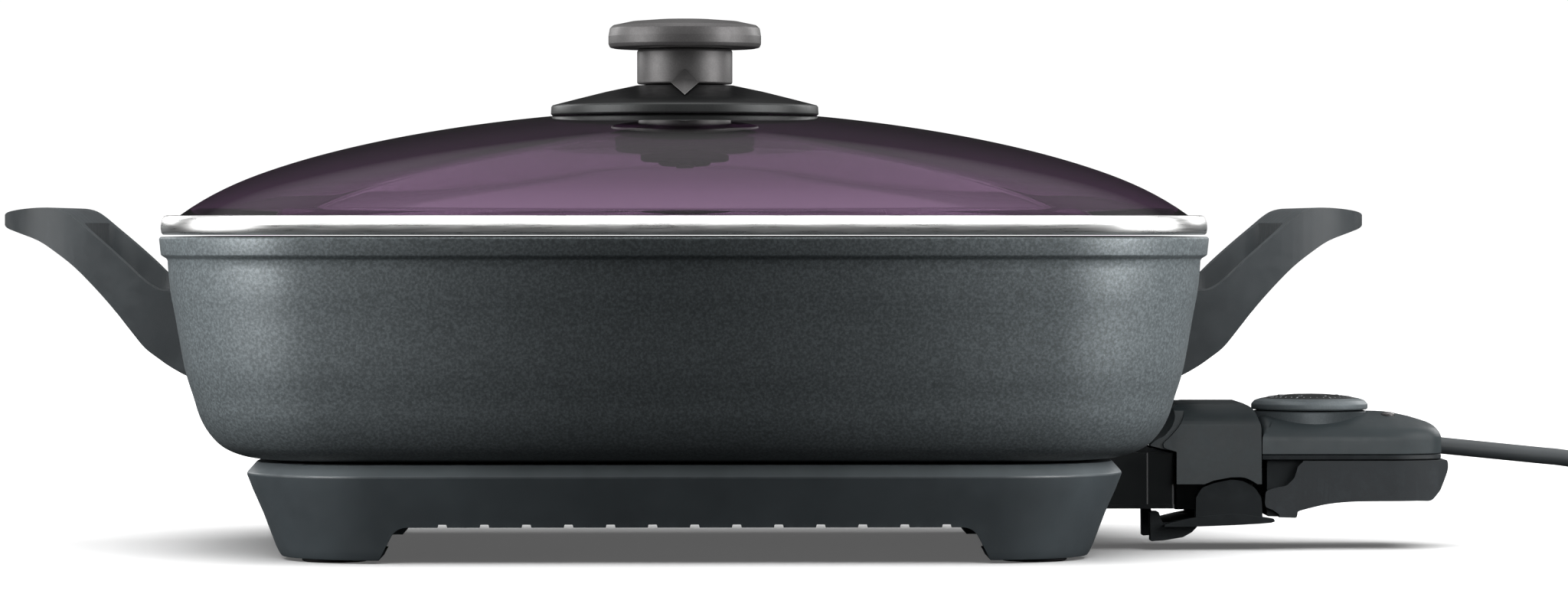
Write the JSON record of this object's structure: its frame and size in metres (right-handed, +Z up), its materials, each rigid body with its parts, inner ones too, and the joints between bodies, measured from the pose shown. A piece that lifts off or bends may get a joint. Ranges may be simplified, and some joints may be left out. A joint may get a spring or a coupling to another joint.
{
  "type": "electric griddle pan",
  "caption": "Electric griddle pan with a glass lid, a turning vent knob, two loop handles and a pull-off temperature controller with a dial, a release lever and a coiled cord.",
  "frame": {"origin": "bottom centre of the object's box, on the surface it stands on, without the cord", "axes": "+X along the length towards the temperature controller, +Z up, +Y towards the back"},
  "size_m": [0.7329, 0.3113, 0.2008],
  "materials": {
    "pan_coating": "dark slate non-stick coating with fine metallic speckle",
    "base_plastic": "matte dark slate phenolic plastic",
    "handle_plastic": "fine-grained matte dark slate plastic",
    "black_plastic": "black heat-proof plastic",
    "foot_rubber": "soft black rubber",
    "steel_screw": "zinc-plated steel",
    "heater_sheath": "heat-tinted steel sheath",
    "pin_steel": "polished nickel plate",
    "rim_steel": "polished stainless steel",
    "tinted_glass": "plum-tinted tempered glass",
    "silicone": "black silicone",
    "knob_satin": "satin warm grey metallic lacquer",
    "controller_plastic": "satin dark slate plastic",
    "grip_rubber": "matte soft-touch",
    "dial_ring_satin": "satin slate grey lacquer with fine turning lines",
    "dial_face": "near-black satin disc",
    "contact_brass": "bright brass",
    "ceramic": "unglazed steatite ceramic",
    "lens_red": "red translucent lens",
    "cord_jacket": "matte dark grey jacket",
    "plug_plastic": "moulded black plastic"
  },
  "bodies": {
    "pan_unit": {"pan": "pan_coating", "base": "base_plastic", "handle_left": "handle_plastic", "handle_right": "handle_plastic", "heating_element": "heater_sheath", "terminal_pin_near": "pin_steel", "terminal_pin_far": "pin_steel", "sensor_pocket": "pin_steel", "socket_guard": "black_plastic", "foot_pad_left_near": "foot_rubber", "foot_pad_left_far": "foot_rubber", "foot_pad_right_near": "foot_rubber", "foot_pad_right_far": "foot_rubber", "base_screw_1": "steel_screw", "base_screw_2": "steel_screw", "base_screw_3": "steel_screw", "base_screw_4": "steel_screw", "handle_screw_1": "steel_screw", "handle_screw_2": "steel_screw", "handle_screw_3": "steel_screw", "handle_screw_4": "steel_screw"},
    "lid": {"lid_glass": "tinted_glass", "lid_rim": "rim_steel", "lid_gasket": "silicone", "knob_collar": "black_plastic", "vent_plate": "black_plastic"},
    "vent_knob": {"knob_stem": "knob_satin", "knob_cap": "knob_satin", "knob_pointer": "knob_satin", "vent_shutter": "black_plastic", "knob_screw": "steel_screw"},
    "controller": {"controller_hood": "controller_plastic", "housing_top": "controller_plastic", "housing_bottom": "controller_plastic", "grip_pad": "grip_rubber", "housing_screw_1": "steel_screw", "housing_screw_2": "steel_screw", "sensor_rod": "pin_steel", "contact_sleeve_near": "contact_brass", "contact_sleeve_far": "contact_brass", "contact_carrier": "black_plastic", "thermostat_block": "ceramic", "terminal_block": "ceramic", "indicator_lens": "lens_red", "indicator_lamp": "lens_red", "strain_relief": "grip_rubber", "lever_pin": "steel_screw", "lever_spring": "steel_screw", "cord": "cord_jacket", "cord_coil": "cord_jacket", "cord_tie": "plug_plastic", "cord_tail": "cord_jacket", "plug_body": "plug_plastic", "plug_pin_a": "pin_steel", "plug_pin_b": "pin_steel"},
    "dial": {"dial_ring": "dial_ring_satin", "dial_disc": "dial_face", "dial_spindle": "steel_screw"},
    "release_lever": {"release_lever": "controller_plastic"}
  },
  "joints": [
    {"name": "lid_lift", "type": "slide", "parent": "pan_unit", "child": "lid", "axis": [0, 0, 1], "range_m": [0, 0.15]},
    {"name": "vent_turn", "type": "hinge", "parent": "lid", "child": "vent_knob", "pos_m": [-0.0156, 0, 0.18], "axis": [0, 0, 1], "range_deg": [-40, 40]},
    {"name": "controller_pull", "type": "slide", "parent": "pan_unit", "child": "controller", "axis": [1, 0, 0], "range_m": [0, 0.09]},
    {"name": "dial_turn", "type": "hinge", "parent": "controller", "child": "dial", "pos_m": [0.2222, 0, 0.055], "axis": [0, 0, 1], "range_deg": [0, 270]},
    {"name": "lever_rock", "type": "hinge", "parent": "controller", "child": "release_lever", "pos_m": [0.1894, 0, 0.0196], "axis": [0, -1, 0], "range_deg": [0, 6], "stiffness_Nm_per_rad": 0.1, "springref_deg": -5.73, "deforming": ["lever_spring"]}
  ]
}
